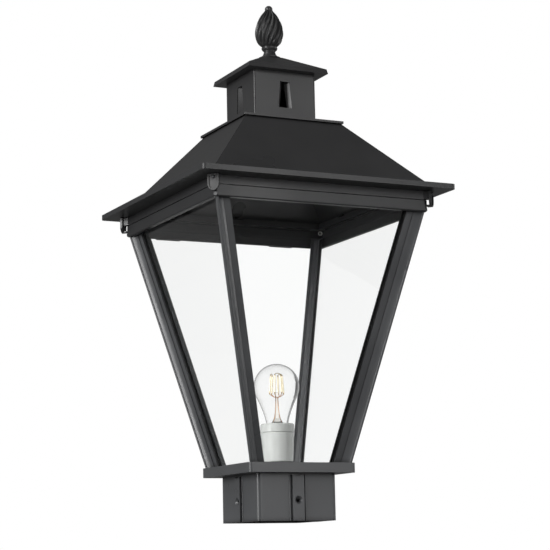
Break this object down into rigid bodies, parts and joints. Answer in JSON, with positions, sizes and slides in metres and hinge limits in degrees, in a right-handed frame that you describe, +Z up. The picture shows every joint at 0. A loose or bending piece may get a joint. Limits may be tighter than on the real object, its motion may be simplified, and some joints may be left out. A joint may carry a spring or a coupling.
{
  "type": "post top lantern",
  "caption": "Square tapered glass lantern for the top of a post, with a vented chimney roof that swings back on rear hinges and a screw-in lamp.",
  "frame": {"origin": "middle of the post sleeve's open bottom edge", "axes": "+Z up along the post, -Y to the front, +X to the right; the roof's hinges are at the rear, +Y"},
  "size_m": [0.3536, 0.3536, 0.6919],
  "materials": {
    "casting": "charcoal powder coat, satin, fine texture",
    "painted_sheet": "charcoal powder coat, satin, fine texture",
    "clear_glass": "clear, polished",
    "lamp_glass": "clear, blown",
    "seal_rubber": "matt",
    "plated_steel": "bright zinc plate",
    "porcelain": "white glaze",
    "copper": "bright",
    "filament": "satin"
  },
  "bodies": {
    "cage": {"post_sleeve": "casting", "base_plate": "casting", "sleeve_screws": "plated_steel", "cable_grommet": "seal_rubber", "bar_foot_screws": "plated_steel", "earth_screw": "plated_steel", "corner_bar_rear_right": "casting", "corner_bar_rear_left": "casting", "corner_bar_front_left": "casting", "corner_bar_front_right": "casting", "glass_clamp_rear_right": "casting", "glass_clamp_rear_left": "casting", "glass_clamp_front_left": "casting", "glass_clamp_front_right": "casting", "glass_pane_front": "clear_glass", "glass_pane_right": "clear_glass", "glass_pane_rear": "clear_glass", "glass_pane_left": "clear_glass", "glass_seals_front": "seal_rubber", "glass_seals_right": "seal_rubber", "glass_seals_rear": "seal_rubber", "glass_seals_left": "seal_rubber", "clamp_screws": "plated_steel", "top_frame": "casting", "frame_corner_screws": "plated_steel", "lid_gasket": "seal_rubber", "hinge_lower_leaves": "painted_sheet", "hinge_lower_screws": "painted_sheet", "hinge_pins": "plated_steel", "holder_bracket": "painted_sheet", "bracket_screws": "plated_steel", "holder_screws": "plated_steel", "holder_body": "porcelain", "holder_ring": "porcelain", "holder_shell": "plated_steel", "centre_contact": "copper"},
    "roof": {"hinge_upper_leaves": "painted_sheet", "hinge_upper_screws": "painted_sheet", "eave_frame": "casting", "roof_shell": "painted_sheet", "roof_screws": "plated_steel", "shoulder_plate": "casting", "chimney": "painted_sheet", "cap_underplate": "casting", "chimney_cap": "casting", "finial": "casting", "tie_rod": "plated_steel", "tie_bar": "plated_steel", "tie_nut": "plated_steel", "corner_clip_rear_right": "casting", "corner_clip_rear_left": "casting", "corner_clip_front_left": "casting", "corner_clip_front_right": "casting", "clip_screws": "plated_steel", "clip_nuts": "plated_steel"},
    "lamp_lift": {"lamp_contact": "copper"},
    "lamp": {"lamp_cap": "plated_steel", "lamp_glass": "lamp_glass", "lamp_stem": "copper", "lamp_filaments": "filament"}
  },
  "joints": [
    {"name": "roof_hinge", "type": "hinge", "parent": "cage", "child": "roof", "pos_m": [0, 0.155, 0.394], "axis": [-1, 0, 0], "range_deg": [0, 100]},
    {"name": "lamp_lift", "type": "slide", "parent": "cage", "child": "lamp_lift", "axis": [0, 0, 1], "range_m": [0, 0.0145]},
    {"name": "lamp_turn", "type": "hinge", "parent": "lamp_lift", "child": "lamp", "pos_m": [0, 0, 0.1], "axis": [0, 0, 1], "range_deg": [0, 1440]}
  ],
  "couplings": [
    {"joint": "lamp_turn", "follows": "lamp_lift", "rad_per_m": 1731.4}
  ]
}
